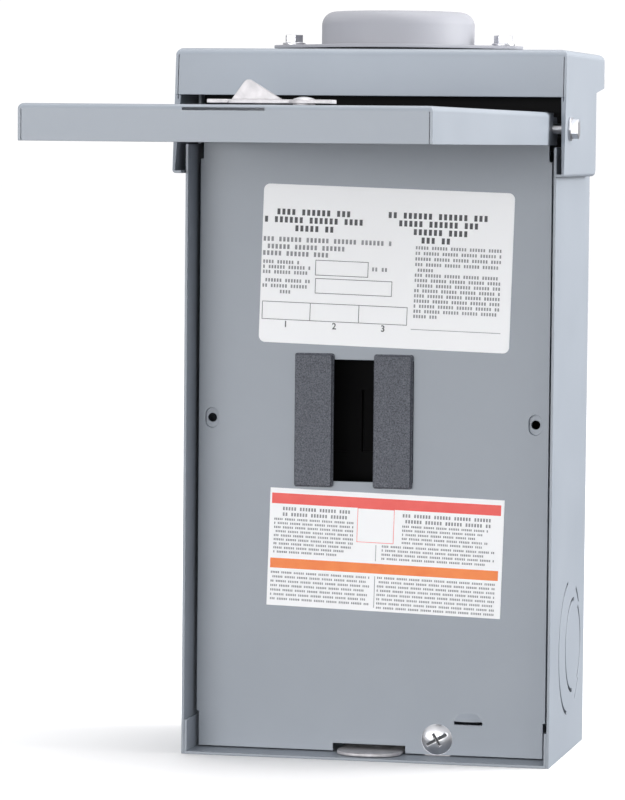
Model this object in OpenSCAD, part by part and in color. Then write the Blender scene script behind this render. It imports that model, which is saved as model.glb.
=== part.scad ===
// Rainproof three-space load centre (subpanel enclosure) with a lift-up front door.
// Built in millimetres, +Z up. The origin is the centre of the wall-hole pattern, on the wall.
// Inside the modules the box frame is used: X from the middle, Y back from the front edges,
// Z up from the floor plate. in_box() carries that frame to the origin.

/* [Box] */
// Outside width of the wrap
box_w = 176.5; // [150:0.5:230]
// Depth of the wrap, front edges to outside of the back
box_d = 103; // [90:1:140]
// Height from the floor to the top of the hood
box_h = 333.8; // [290:1:420]
// Sheet thickness of the wrap, hood and cover
wall_t = 1.3; // [1:0.1:2]
// Outside bend radius at the back corners
bend_r = 3; // [2.2:0.1:5]
// Height of the floor plate's upturned flanges
endwall_up = 16.3; // [12:0.1:20]
// How far the four mounting feet stand the back off the wall
foot_h = 9.5; // [6:0.5:14]
// Diameter of a mounting foot
foot_d = 26; // [20:1:34]
// Diameter of a wall-screw hole
wall_hole_d = 7; // [5:0.5:9]
// Distance between the wall holes, side to side
wall_hole_dx = 120; // [80:1:140]
// Distance between the wall holes, up and down
wall_hole_dz = 240; // [180:1:260]
// Height of the lower wall holes above the floor
wall_hole_z = 46; // [36:1:60]

/* [Hood] */
// Gap between the box wall and a hood flap
flap_gap = 3.4; // [3:0.1:6]
// Height of the front lip of the hood
lip_h = 21.8; // [16:0.2:26]
// Height of the side flaps
flap_h = 58.7; // [52:0.1:70]
// How far the front edge leans forward at the foot of a flap
flap_lean = 6; // [2:0.5:8]
// Distance of the front top edge ahead of the box front
hood_ahead = 1; // [0.5:0.1:3]
// Distance from the box front to the back edge of the lower flap
flap_back = 85; // [70:1:95]
// Rise of the rear step of a flap above the lip's lower edge
step_rise = 3; // [2:0.5:8]
// Diameter of the conduit-hub hole in the hood
hub_hole_d = 50; // [40:1:54]
// Distance of the hub hole's centre from the box front
hub_y = 57; // [50:1:62]
// Distance of the hub hole's centre to the right of the middle
hub_x = 1.6; // [0:0.1:3]

/* [Hub closing plate] */
// Length of the closing plate
hub_plate_w = 121; // [112:1:140]
// Depth of the closing plate
hub_plate_d = 84; // [80:1:96]
// Sheet thickness of the closing plate
hub_plate_t = 1.6; // [1.2:0.1:2]
// Diameter of the raised drum
drum_d = 73; // [60:1:76]
// Height of the raised drum above the plate
drum_h = 17.5; // [10:0.5:20]
// Corner radius of the drum
drum_r = 6.5; // [4:0.5:8]
// Distance between the two closing-plate screws
hub_screw_dx = 102; // [98:1:106]

/* [Door] */
// Clearance between a door flange and the floor plate's side flange
door_gap = 0.3; // [0.2:0.05:0.8]
// Sheet thickness of the door
door_t = 1.2; // [1:0.1:1.6]
// Depth of the door's flanges
door_flange = 15.2; // [12:0.2:18]
// How far the side flanges run behind the hinge axis
door_heel = 11.4; // [7.5:0.1:12]
// Height of the hinge axis below the top of the hood
pivot_drop = 36.4; // [32:0.2:40]
// How far the door's top edge tucks up behind the lip, above the hinge axis
door_tuck = 19; // [16:0.5:20]
// Clearance between the closed door and the tongue below it
door_foot_gap = 0.4; // [0.3:0.1:1]
// Width of the slot in the door's lower flange
door_slot_w = 34; // [28:1:40]
// Height of that slot
door_slot_h = 1.2; // [1:0.1:2]
// Diameter of the hinge screws
hinge_d = 5; // [4:0.5:6]
// Running clearance of a hinge screw in the door, on the radius
hinge_fit = 0.06; // [0.03:0.01:0.1]

/* [Latch] */
// Thickness of the latch plate
latch_t = 1.6; // [1.2:0.1:2]
// Distance of the rivet to the right of the middle
latch_x = 31.1; // [28:0.1:40]
// Distance of the rivet above the door's lower edge when closed
latch_up = 9; // [8:0.5:12]
// Length of the latch plate to the left of the rivet
latch_arm = 38.6; // [36:0.2:46]
// Length of the latch plate to the right of the rivet
latch_tail = 12; // [8:1:16]
// Width of the latch plate
latch_w = 12; // [10:0.5:14]
// Height of the finger tab above the plate
tab_h = 8; // [6:0.2:11]
// Diameter of the latch rivet
rivet_d = 5; // [4:0.5:6]
// Diameter of the seal-wire hole in the latch nose
seal_d = 3.2; // [2.4:0.2:4]
// Width of the hasp tongue
tongue_w = 31; // [28:1:33]
// Thickness of the hasp tongue
tongue_t = 1.5; // [1.2:0.1:2]

/* [Cover] */
// Distance from the box front back to the cover
recess = 17.4; // [17.4:0.2:24]
// Gap between the cover's side and the box wall
cover_gap = 2.6; // [2:0.05:4]
// Height of the cover's top edge below the hinge axis
cover_drop = 4.5; // [4.5:0.5:16]
// Relief of the cover's upper corners, beside the lifted door's flanges
cover_relief = 1.4; // [1.2:0.1:3]
// Height of that relief
cover_relief_h = 11; // [10:0.5:20]
// Height of the cover's lower edge above the floor
cover_foot = 1.9; // [1.6:0.1:4]
// Length of the cover's rearward top flange
cover_hook = 11.6; // [9:0.2:16]
// Width of the tongue notch in the cover
notch_w = 35; // [34:1:42]
// Height of the tongue notch above the floor
notch_h = 5.5; // [4.6:0.1:8]

/* [Breaker opening] */
// Pitch of the breaker spaces
space_w = 19.05; // [18:0.05:26]
// Number of breaker spaces
spaces = 3; // [3:1:4]
// Height of the breaker opening
opening_h = 57.6; // [50:0.1:62]
// Height of the opening's middle above the floor
opening_z = 159; // [150:1:170]
// Distance of the opening's middle to the left of the box's middle
opening_left = 9.8; // [4:0.2:14]
// Height of a filler plate
filler_h = 63.4; // [60:0.2:70]
// How far a filler plate stands in front of the cover
filler_proud = 3; // [2:0.2:4]

/* [Cover fastening] */
// Distance of the cover screw to the right of the middle
cover_screw_x = 31.9; // [28:0.5:40]
// Height of the cover screw above the floor
cover_screw_z = 9.2; // [9:0.2:12]
// Diameter of the cover screw's head
cover_head_d = 14.8; // [12:0.2:15]
// Diameter of the cover screw's thread
cover_screw_d = 6; // [5:0.5:6]

/* [Knockouts] */
// Radius of the large knockout ring
ko_r = 31.8; // [26:0.2:32.4]
// Radius of the small knockout ring inside it
ko_small_r = 22; // [17:0.2:24]
// Width of a knockout slit
ko_slit = 1.8; // [0.8:0.1:2.2]
// Distance of the large ring's centre from the box front
ko_y = 57.5; // [50:0.5:62]
// Height of the ring's centre above the floor
ko_z = 50.5; // [46:0.5:60]

/* [Labels] */
// Thickness of a label
label_t = 0.2; // [0.15:0.05:0.3]
// Width of the upper label
label_a_w = 120.4; // [100:0.2:130]
// Height of the upper label
label_a_h = 75; // [60:0.5:80]
// Width of the lower label
label_b_w = 112.8; // [96:0.2:124]
// Height of the lower label
label_b_h = 56; // [44:0.5:60]
// Tilt of the labels, clockwise
label_tilt = 1.6; // [0:0.1:3]

/* [Interior] */
// Width of the interior pan
pan_w = 92; // [88:1:110]
// Height of the interior pan
pan_h = 150; // [140:1:160]
// Height of the interior pan's middle above the floor
pan_z = 176; // [168:1:184]
// Distance of the pan's front face behind the box front
pan_y = 74; // [70:1:80]
// Thickness of the bus bars
bus_t = 3; // [2:0.5:4]
// Width of a bus bar
bus_w = 10; // [8:0.5:12]
// Length of the neutral bar
neutral_l = 100; // [80:1:110]
// Length of the ground bar
ground_l = 76; // [60:1:90]
// Side of the neutral and ground bars
bar_s = 9; // [8:0.5:11]

/* [Hidden] */
$fn = 48;
eps = 0.01;
seat = 0.3;

paint = [0.62, 0.65, 0.68];
drum_paint = [0.63, 0.63, 0.66];
zinc = [0.83, 0.83, 0.86];
galvanised = [0.75, 0.76, 0.79];
tinned = [0.74, 0.74, 0.72];
moulded = [0.24, 0.25, 0.27];
lug_metal = [0.78, 0.79, 0.8];
paper = [0.95, 0.95, 0.97];
sponge = [0.12, 0.12, 0.13];

// Box
half_w = box_w / 2;
in_w = box_w - 2 * wall_t;
back_in = box_d - wall_t;
roof_z = box_h - wall_t;
wall_y = box_d + foot_h;
mount_z = wall_hole_z + wall_hole_dz / 2;

// Hood
flap_in = half_w + flap_gap;
flap_out = flap_in + wall_t;
hood_w = 2 * flap_out;
lip_foot = box_h - lip_h;
flap_foot = box_h - flap_h;
lip_lean = flap_lean * (lip_h - 2) / (flap_h - 2);
hood_front = -hood_ahead;

// Door and hinge
door_half = half_w - 2 * wall_t - door_gap;
pivot_y = door_flange / 2;
pivot_z = box_h - pivot_drop;
tongue_z = wall_t + 0.3;
door_reach = pivot_z - (tongue_z + tongue_t + door_foot_gap);
wall_notch_z = pivot_z - door_flange / 2 - 1;
wall_notch_y = 24;
hinge_hole_d = hinge_d + 2 * hinge_fit;

// Cover
cover_top = pivot_z - cover_drop;
cover_half = half_w - wall_t - cover_gap;
cover_back = recess + wall_t;
baffle_y = cover_back + cover_hook;
opening_x = -opening_left;
opening_w = spaces * space_w;
filler_w = space_w - 0.2;
bracket_y = cover_back + seat;
cover_x = -0.9;
eyebrow_x = 46.8;
eyebrow_z = 17.4;
eyebrow_r = 14.2;
dimple_x = 77.9;
dimple_z = 159;
dimple_in = 1.4;
label_a_x = 4.9;
label_a_z = 231.4;
label_b_x = 5.8;
label_b_z = 96.9;

// Hub
hub_seat_z = box_h + 1.2;
screw_shank_d = 4.8;

// Interior
pan_t = 1.2;
base_t = 10;
base_y = pan_y - base_t;
bus_y = base_y - bus_t;
lug_s = 15;
lug_h = 22;
lug_z = pan_z + pan_h / 2 - 22;
stab_z = pan_z + 22;
rail_z = pan_z - 62;
neutral_x = 62;
neutral_y = 66;
neutral_z = 176;
neutral_count = 8;
neutral_pitch = neutral_l / (neutral_count + 1.5);
strap_z = neutral_z - neutral_l / 2 + 2;
ground_x = -68;
ground_z = 150;
ground_count = 6;
ground_pitch = ground_l / (ground_count + 1.6);
ground_y = back_in - bar_s;
ground_screw_z = ground_l / 2 - 3.4;
pan_screw_z = 66;
pan_screw_d = 4.06;

// ---------------------------------------------------------------- helpers

// Carries the box frame to the origin at the wall.
module in_box() translate([0, -wall_y, -mount_z]) children();

// A YZ outline of thickness t, from x to x + t.
module side_plate(x, t) translate([x, 0, 0]) rotate([90, 0, 90]) linear_extrude(t) children();

// An XZ outline of thickness t, from y to y + t.
module front_plate(y, t) translate([0, y + t, 0]) rotate([90, 0, 0]) linear_extrude(t) children();

// A round bar along X from x0 to x1.
module bar_x(d, x0, x1) translate([x0, 0, 0]) rotate([0, 90, 0]) cylinder(d = d, h = x1 - x0);

// A round bar along Y from y0 to y1.
module bar_y(d, y0, y1) translate([0, y0, 0]) rotate([-90, 0, 0]) cylinder(d = d, h = y1 - y0);

// A quarter ring with its centre at the origin, in the first quadrant.
module quarter_ring(r, t) intersection() {
    difference() {
        circle(r);
        circle(r - t);
    }
    square(r);
}

// A rectangle with four round corners, centred.
module round_rect(w, h, r) {
    square([w - 2 * r, h], center = true);
    square([w, h - 2 * r], center = true);
    for (sx = [-1, 1], sy = [-1, 1]) translate([sx * (w / 2 - r), sy * (h / 2 - r)]) circle(r);
}

// A hexagon-head screw pointing down, its washer face at z = 0.
module hex_screw(head_d, head_h, washer_d, shank_d, length) {
    cylinder(d = washer_d, h = 1.2);
    translate([0, 0, 1.2 - eps]) cylinder(d = head_d, h = head_h - 1.2, $fn = 6);
    translate([0, 0, -length]) cylinder(d = shank_d, h = length + eps);
}

// A slit ring through the wall, drawn about X, from angle a0 to a1 (0 is to the back, 90 is up).
module slit_arc(r, a0, a1) rotate([90, 0, 90]) rotate_extrude(angle = a1 - a0, start = a0)
    translate([r - ko_slit / 2, -wall_t * 2]) square([ko_slit, wall_t * 4]);

// The two broken rings of an eccentric knockout, about X through the large ring's centre.
module knockout_slits() {
    shift = ko_r - ko_small_r;
    slit_arc(ko_r, 101, 258);
    slit_arc(ko_r, 36, 58);
    slit_arc(ko_r, 302, 326);
    translate([0, shift, 0]) {
        slit_arc(ko_small_r, 84, 268);
        slit_arc(ko_small_r, -52, 52);
    }
}

// ---------------------------------------------------------------- shell

module wrap_plan() {
    for (s = [-1, 1]) {
        translate([s > 0 ? half_w - wall_t : -half_w, 0]) square([wall_t, box_d - bend_r]);
        translate([s * (half_w - bend_r), box_d - bend_r]) mirror([s > 0 ? 0 : 1, 0])
            quarter_ring(bend_r, wall_t);
    }
    translate([-half_w + bend_r, back_in]) square([box_w - 2 * bend_r, wall_t]);
}

module at_feet() for (sx = [-1, 1], sz = [0, 1])
    translate([sx * wall_hole_dx / 2, 0, wall_hole_z + sz * wall_hole_dz]) children();

module enclosure_wrap() color(paint) in_box() difference() {
    union() {
        linear_extrude(roof_z) wrap_plan();
        at_feet() bar_y(foot_d, back_in, wall_y);
    }
    at_feet() bar_y(foot_d - 2 * wall_t, back_in - 1, wall_y - wall_t);
    at_feet() bar_y(wall_hole_d, back_in - 1, wall_y + 1);
    translate([-half_w - 1, -1, wall_notch_z]) cube([box_w + 2, wall_notch_y + 1, box_h]);
    for (s = [-1, 1]) translate([s * (half_w - wall_t / 2), ko_y, ko_z]) knockout_slits();
    for (sz = [-1, 1]) translate([0, 0, pan_z + sz * pan_screw_z]) bar_y(pan_screw_d, back_in - 1, box_d + 1);
    for (sz = [-1, 1]) translate([ground_x, 0, ground_z + sz * ground_screw_z])
        bar_y(pan_screw_d, back_in - 1, box_d + 1);
    translate([neutral_x, 0, strap_z - 18]) bar_y(pan_screw_d, back_in - 1, box_d + 1);
}

module bottom_endwall() color(paint) in_box() {
    h = in_w / 2;
    corner = bend_r;
    difference() {
        union() {
            linear_extrude(wall_t) polygon([
                [-h, 0], [h, 0], [h, back_in - corner], [h - corner, back_in],
                [corner - h, back_in], [-h, back_in - corner]
            ]);
            for (s = [-1, 1]) side_plate(s > 0 ? h - wall_t : -h, wall_t)
                translate([0.3, 0]) square([back_in - corner - 0.3, endwall_up]);
            front_plate(back_in - wall_t, wall_t)
                translate([corner - h, 0]) square([2 * (h - corner), endwall_up]);
        }
        translate([0, hub_y, -1]) difference() {
            cylinder(r = ko_small_r + ko_slit / 2, h = wall_t + 2);
            translate([0, 0, -1]) cylinder(r = ko_small_r - ko_slit / 2, h = wall_t + 4);
            for (a = [45, 225]) rotate([0, 0, a]) translate([0, -2, -1]) cube([ko_r, 4, wall_t + 4]);
        }
    }
}

// Outline of a hood flap seen from the side, front edge leaning forward.
module flap_outline() {
    polygon([
        [hood_front, box_h - 2],
        [hood_front + 2, box_h],
        [wall_y - 5, box_h],
        [wall_y, box_h - 5],
        [wall_y, lip_foot + step_rise + 2.5],
        [flap_back + 3, lip_foot + step_rise],
        [flap_back + 3, flap_foot + 3],
        [flap_back, flap_foot],
        [hood_front - flap_lean, flap_foot]
    ]);
}

// Outline of the roof and the front lip seen from the side, bent over at the front.
module roof_outline() {
    polygon([
        [wall_y, box_h],
        [hood_front + 2, box_h],
        [hood_front, box_h - 2],
        [hood_front - lip_lean, lip_foot],
        [hood_front - lip_lean + wall_t, lip_foot],
        [hood_front + wall_t, box_h - 2.6],
        [hood_front + wall_t + 1.3, roof_z],
        [wall_y, roof_z]
    ]);
}

module at_hinges() translate([0, pivot_y, pivot_z]) children();

module hood() color(paint) in_box() difference() {
    union() {
        side_plate(-flap_in, 2 * flap_in) roof_outline();
        for (s = [-1, 1]) side_plate(s > 0 ? flap_in : -flap_out, wall_t) flap_outline();
        for (s = [-1, 1]) translate([s > 0 ? half_w + seat : -flap_in - eps, 0.5, flap_foot])
            cube([flap_gap - seat + eps, flap_back - 0.5, wall_t]);
        side_plate(-half_w + 8, box_w - 16) translate([wall_y - wall_t, lip_foot + step_rise])
            square([wall_t, lip_h - step_rise - eps]);
    }
    translate([hub_x, hub_y, roof_z - 1]) cylinder(d = hub_hole_d, h = wall_t + 2);
    for (s = [-1, 1]) translate([hub_x + s * hub_screw_dx / 2, hub_y, roof_z - 1])
        cylinder(d = screw_shank_d + 0.1, h = wall_t + 2);
    at_hinges() bar_x(hinge_d, -flap_out - 1, flap_out + 1);
}

module top_baffle() color(paint) in_box() {
    foot = cover_top - 6;
    front_plate(baffle_y, wall_t)
        translate([-in_w / 2 + 0.3, foot]) square([in_w - 0.6, roof_z - foot]);
    translate([-in_w / 2 + 0.3, baffle_y - 9, roof_z - wall_t]) cube([in_w - 0.6, 9 + eps, wall_t]);
}

// ---------------------------------------------------------------- hub closing plate

// Oval of the closing plate: a wide round middle that narrows to an ear round each screw.
module hub_outline(inset) {
    big = hub_plate_d / 2;
    ear = (hub_plate_w - hub_screw_dx) / 2;
    half = hub_screw_dx / 2;
    f = acos((big - ear) / half);
    c = cos(f);
    d = sin(f);
    b = big - inset;
    e = ear - inset;
    circle(b);
    for (s = [-1, 1]) translate([s * half, 0]) circle(e);
    polygon([
        [b * c, b * d], [half + e * c, e * d], [half + e * c, -e * d], [b * c, -b * d],
        [-b * c, -b * d], [-half - e * c, -e * d], [-half - e * c, e * d], [-b * c, b * d]
    ]);
}

module hub_gasket() color(sponge) in_box() translate([hub_x, hub_y, box_h]) difference() {
    linear_extrude(hub_seat_z - box_h) hub_outline(1.5);
    translate([0, 0, -1]) cylinder(d = hub_hole_d, h = 4);
    for (s = [-1, 1]) translate([s * hub_screw_dx / 2, 0, -1]) cylinder(d = screw_shank_d + 0.4, h = 4);
}

// Outline of half of the hollow drum, turned about Z.
module drum_section() {
    r = drum_d / 2;
    ri = r - hub_plate_t;
    difference() {
        union() {
            square([r - drum_r, drum_h]);
            square([r, drum_h - drum_r]);
            translate([r - drum_r, drum_h - drum_r]) circle(drum_r);
            square([r + 1.5, hub_plate_t]);
        }
        translate([-1, -1]) square([ri - drum_r + 1, drum_h - hub_plate_t + 1]);
        translate([-1, -1]) square([ri + 1, drum_h - drum_r + 1]);
        translate([r - drum_r, drum_h - drum_r]) circle(drum_r - hub_plate_t);
        translate([-drum_d, -drum_d]) square([drum_d, 3 * drum_d]);
    }
}

module hub_closing_plate() color(drum_paint) in_box() translate([hub_x, hub_y, hub_seat_z]) {
    difference() {
        linear_extrude(hub_plate_t) hub_outline(0);
        translate([0, 0, -1]) cylinder(r = drum_d / 2 - hub_plate_t, h = hub_plate_t + 2);
        for (s = [-1, 1]) translate([s * hub_screw_dx / 2, 0, -1])
            cylinder(d = screw_shank_d + 0.4, h = hub_plate_t + 2);
    }
    rotate_extrude() drum_section();
}

module hub_plate_screws() color(zinc) in_box()
    for (s = [-1, 1]) translate([hub_x + s * hub_screw_dx / 2, hub_y, hub_seat_z + hub_plate_t])
        rotate([0, 0, s * 11]) hex_screw(9.2, 5, 11, screw_shank_d, 10);

// ---------------------------------------------------------------- hinge and door

module hinge_screws() color(zinc) in_box() at_hinges() for (s = [-1, 1]) mirror([s > 0 ? 0 : 1, 0, 0])
    translate([flap_out, 0, 0]) rotate([0, 90, 0])
        hex_screw(9.2, 4.4, 11, hinge_d, flap_out - door_half + door_t + 2);

// Side flange of the door with a rounded hinge end, seen from the side with the door open.
module door_flange_outline() {
    r = 2.2;
    near = pivot_y - door_reach;
    far = pivot_y + door_heel;
    low = pivot_z - door_flange / 2;
    translate([near, low]) square([far - near, door_flange - r]);
    translate([near, low]) square([far - near - r, door_flange]);
    translate([far - r, low + door_flange - r]) circle(r);
}

module door() color(paint) in_box() {
    near = pivot_y - door_reach;
    face_z = pivot_z + door_flange / 2;
    tuck_y = pivot_y + door_tuck;
    difference() {
        union() {
            for (s = [-1, 1]) side_plate(s > 0 ? door_half - door_t : -door_half, door_t)
                door_flange_outline();
            translate([-door_half + eps, near, face_z - door_t])
                cube([2 * door_half - 2 * eps, pivot_y - near, door_t]);
            translate([-door_half + 3, pivot_y - eps, face_z - door_t])
                cube([2 * door_half - 6, tuck_y - pivot_y, door_t]);
            translate([-door_half + eps, near, face_z - door_flange])
                cube([2 * door_half - 2 * eps, door_t, door_flange]);
        }
        at_hinges() bar_x(hinge_hole_d, -half_w, half_w);
        translate([-door_slot_w / 2, near - 1, face_z - door_t - door_slot_h])
            cube([door_slot_w, door_t + 2, door_slot_h]);
        translate([latch_x, near + latch_up, face_z - 5]) cylinder(d = rivet_d, h = 10);
    }
}

module latch_at() translate([latch_x, pivot_y - door_reach + latch_up, pivot_z + door_flange / 2 + 0.6])
    children();

// Point where the line from p touches a circle of radius r about c, on side s.
function touch(p, c, r, s) =
    let (v = p - c, f = atan2(v[1], v[0]) + s * acos(r / norm(v))) c + r * [cos(f), sin(f)];

// Finger tab, a triangle with a round tip, standing on the plate.
module tab_outline() {
    tip_r = 2.2;
    c = [-24, tab_h - tip_r];
    p = [-31, 0];
    q = [-10, 0];
    polygon([p, touch(p, c, tip_r, -1), c, touch(q, c, tip_r, 1), q]);
    translate(c) circle(tip_r);
}

module latch_plate() color(galvanised) in_box() latch_at() {
    low = latch_w / 2;
    difference() {
        union() {
            linear_extrude(latch_t) {
                circle(d = latch_w);
                translate([-latch_arm, -low]) square([8, latch_w - 3]);
                translate([-latch_arm, -2.5]) square([10, latch_w - 6.5]);
                translate([-latch_arm + 10, -2.5]) square([latch_arm - 10, low + 2.5]);
                translate([0, -low]) square([latch_tail, latch_w]);
            }
            translate([0, low, latch_t - eps]) rotate([90, 0, 0]) linear_extrude(latch_t) tab_outline();
        }
        translate([0, 0, -1]) cylinder(d = rivet_d + 0.12, h = latch_t + 2);
        translate([-latch_arm + 4.6, -0.6, -1]) cylinder(d = seal_d, h = latch_t + 2);
    }
}

module latch_washer() color(zinc) in_box() latch_at() translate([0, 0, -0.6]) difference() {
    cylinder(d = 9, h = 0.6);
    translate([0, 0, -1]) cylinder(d = rivet_d + 0.4, h = 3);
}

module latch_rivet() color(zinc) in_box() latch_at() {
    drop = 0.6 + door_t;
    translate([0, 0, -drop - 1.2]) cylinder(d = 8.6, h = 1.2);
    translate([0, 0, -drop - eps]) cylinder(d = rivet_d - 0.04, h = drop + latch_t + 0.1);
    translate([0, 0, latch_t + 0.05]) rotate_extrude() intersection() {
        translate([0, -9.4]) circle(10.5);
        square([9.4 / 2, 2]);
    }
}

// A flat tongue with two round front corners, standing on a foot behind the cover.
module hasp_tongue() color(galvanised) in_box() {
    heel = 14;
    tip_r = 12;
    reach = 3;
    root = cover_back + 6;
    translate([0, 0, tongue_z]) linear_extrude(tongue_t) {
        translate([-tongue_w / 2, reach + tip_r]) square([tongue_w, root - tip_r - reach + heel]);
        translate([-tongue_w / 2 + tip_r, reach]) square([tongue_w - 2 * tip_r, tip_r + 1]);
        for (s = [-1, 1]) translate([s * (tongue_w / 2 - tip_r), reach + tip_r]) circle(tip_r);
    }
    translate([-tongue_w / 2, root, wall_t]) cube([tongue_w, heel, tongue_z - wall_t + eps]);
}

// ---------------------------------------------------------------- cover

module cover_outline() difference() {
    translate([cover_x - cover_half, cover_foot]) square([2 * cover_half, cover_top - cover_foot]);
    translate([cover_x - notch_w / 2, 0]) square([notch_w, notch_h]);
    for (s = [-1, 1]) translate([cover_x + s * cover_half, 0]) {
        translate([-1.1, -1]) square([2.2, 19.5]);
        translate([-cover_relief, cover_top - cover_relief_h]) square([2 * cover_relief, cover_relief_h + 1]);
    }
    translate([opening_x - opening_w / 2, opening_z - opening_h / 2]) square([opening_w, opening_h]);
    translate([cover_screw_x, cover_screw_z]) circle(d = cover_screw_d + 1);
    translate([eyebrow_x, eyebrow_z]) square([13.4, 1.6], center = true);
}

// Oblong recess for a cover hole, as a solid.
module dimple(w, h, d, y0) translate([0, y0 + d, 0]) rotate([90, 0, 0]) linear_extrude(d)
    round_rect(w, h, w / 2 - 0.01);

// Upper part of a shallow dome of radius r over a vent slit, cut off below and behind.
module eyebrow(r, below, behind) intersection() {
    translate([eyebrow_x, recess + 11.6, eyebrow_z - 2.6]) sphere(r, $fn = 64);
    translate([eyebrow_x - 9, recess - 5, eyebrow_z - below]) cube([18, 5 + wall_t + behind, 9]);
}

module deadfront_cover() color(paint) in_box() {
    difference() {
        union() {
            front_plate(recess, wall_t) cover_outline();
            translate([cover_x - cover_half + cover_relief, recess + wall_t - eps, cover_top - wall_t])
                cube([2 * (cover_half - cover_relief), cover_hook - seat, wall_t]);
            for (s = [-1, 1]) translate([cover_x + s * dimple_x, 0, dimple_z])
                dimple(8.4, 11.8, wall_t + dimple_in - 0.2, recess + 0.2);
            eyebrow(eyebrow_r, -0.8, -0.1);
        }
        eyebrow(eyebrow_r - wall_t, 0.8, 1);
        for (s = [-1, 1]) translate([cover_x + s * dimple_x, 0, dimple_z]) {
            dimple(6.2, 9.6, dimple_in + 1, recess - 1);
            bar_y(4.2, recess - 1, recess + 10);
        }
    }
}

// A breaker-space filler with a bevelled face and two snap legs.
module filler(k) in_box() translate([opening_x + k * space_w, 0, opening_z]) color(moulded) {
    leg_z = opening_h / 2 - 0.4;
    front_plate(recess - 1.2, 1.2) round_rect(filler_w, filler_h, 1.2);
    front_plate(recess - filler_proud, filler_proud - 1.2 + eps)
        round_rect(filler_w - 1.4, filler_h - 1.4, 1);
    for (s = [-1, 1]) {
        translate([-5, recess - eps, s > 0 ? leg_z - 2 : -leg_z]) cube([10, 10, 2]);
        translate([-5, cover_back + seat, s > 0 ? leg_z - eps : -leg_z - 1.4]) cube([10, 3, 1.4 + eps]);
    }
}
module filler_plate_left() filler(-1);
module filler_plate_right() filler(1);

module cover_screw() color(zinc) in_box() translate([cover_screw_x, recess, cover_screw_z]) difference() {
    union() {
        rotate([90, 0, 0]) rotate_extrude() intersection() {
            translate([0, -13.6]) circle(r = 15.5);
            square([cover_head_d / 2, 4]);
        }
        bar_y(cover_screw_d, -eps, wall_t + 12);
    }
    rotate([0, -30, 0]) translate([-cover_head_d, -3.1, -0.7]) cube([2 * cover_head_d, 2.2, 1.4]);
    rotate([0, 60, 0]) translate([-3.4, -3.1, -0.7]) cube([6.8, 2.4, 1.4]);
}

module cover_screw_bracket() color(galvanised) in_box() {
    w = 12;
    difference() {
        union() {
            translate([cover_screw_x - w / 2, bracket_y, wall_t]) cube([w, 14, 1.5]);
            translate([cover_screw_x - w / 2, bracket_y, wall_t]) cube([w, 2.4, 16]);
        }
        translate([cover_screw_x, 0, cover_screw_z]) bar_y(cover_screw_d + 0.1, recess, recess + 20);
    }
}

module label(x, z, w, h) color(paper) in_box() translate([x, recess - label_t, z]) rotate([0, label_tilt, 0])
    front_plate(0, label_t) round_rect(w, h, 3);
module upper_label() label(label_a_x, label_a_z, label_a_w, label_a_h);
module lower_label() label(label_b_x, label_b_z, label_b_w, label_b_h);

// ---------------------------------------------------------------- interior

module interior_pan() color(galvanised) in_box() difference() {
    union() {
        translate([-pan_w / 2, pan_y, pan_z - pan_h / 2]) cube([pan_w, pan_t, pan_h]);
        for (s = [-1, 1]) {
            translate([s > 0 ? pan_w / 2 - pan_t : -pan_w / 2, pan_y, pan_z - pan_h / 2])
                cube([pan_t, 10, pan_h]);
            translate([-12, pan_y, s > 0 ? pan_z + pan_screw_z + 10 - pan_t : pan_z - pan_screw_z - 10])
                cube([24, back_in - pan_y, pan_t]);
            translate([-12, back_in - pan_t, pan_z + s * pan_screw_z - (s > 0 ? 8 : 10)])
                cube([24, pan_t, 18]);
        }
    }
    for (s = [-1, 1]) translate([0, 0, pan_z + s * pan_screw_z]) {
        bar_y(pan_screw_d + 0.4, back_in - 4, back_in + 1);
        bar_y(9, pan_y - 1, pan_y + pan_t + 1);
    }
}

module pan_screws() color(zinc) in_box() for (s = [-1, 1])
    translate([0, back_in - pan_t, pan_z + s * pan_screw_z]) rotate([90, 0, 0])
        hex_screw(6.4, 3.2, 8, 4, 5.5);

module bus_base() color(moulded) in_box() difference() {
    translate([-opening_w / 2 + opening_x - 2, base_y, rail_z + 12])
        cube([opening_w + 4, base_t, pan_z + pan_h / 2 - rail_z - 12]);
    for (k = [-1, 0, 1]) translate([opening_x + k * space_w - 6, base_y - 1, opening_z - 18])
        cube([12, 5, 30]);
}

// A vertical bus bar with a forward-standing stab, and a step up to the lug.
module bus_bar(k) color(tinned) in_box() translate([opening_x + k * space_w, 0, 0]) {
    translate([-bus_w / 2, bus_y, stab_z - 12]) cube([bus_w, bus_t, lug_z - stab_z + 20]);
    translate([-bus_t / 2, bus_y - 17, stab_z - 8]) cube([bus_t, 17 + eps, 14]);
}
module bus_bar_a() bus_bar(-1);
module bus_bar_b() bus_bar(0);
module bus_bar_c() bus_bar(1);

module line_lug(k) color(lug_metal) in_box()
    translate([opening_x + k * space_w, bus_y - lug_s, lug_z]) difference() {
        translate([-lug_s / 2, 0, -lug_h / 2]) cube([lug_s, lug_s, lug_h]);
        translate([0, lug_s - 6.5, -lug_h]) cylinder(d = 9, h = 2 * lug_h);
        bar_y(6, -1, lug_s / 2);
    }
module line_lug_a() line_lug(-1);
module line_lug_b() line_lug(0);
module line_lug_c() line_lug(1);

module line_lug_screws() color(zinc) in_box() for (k = [-1, 0, 1])
    translate([opening_x + k * space_w, bus_y - lug_s, lug_z]) difference() {
        bar_y(5.98, -3, 4.6);
        rotate([90, 0, 0]) cylinder(r = 2, h = 8, $fn = 6);
    }

module hook_rail() color(galvanised) in_box() translate([opening_x - opening_w / 2 - 3, 0, rail_z]) {
    w = opening_w + 6;
    translate([0, pan_y - 1.5, -10]) cube([w, 1.5, 20]);
    translate([0, pan_y - 24, -10]) cube([w, 22.5 + eps, 1.5]);
    translate([0, pan_y - 24, -10]) cube([w, 1.5, 8]);
}

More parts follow.
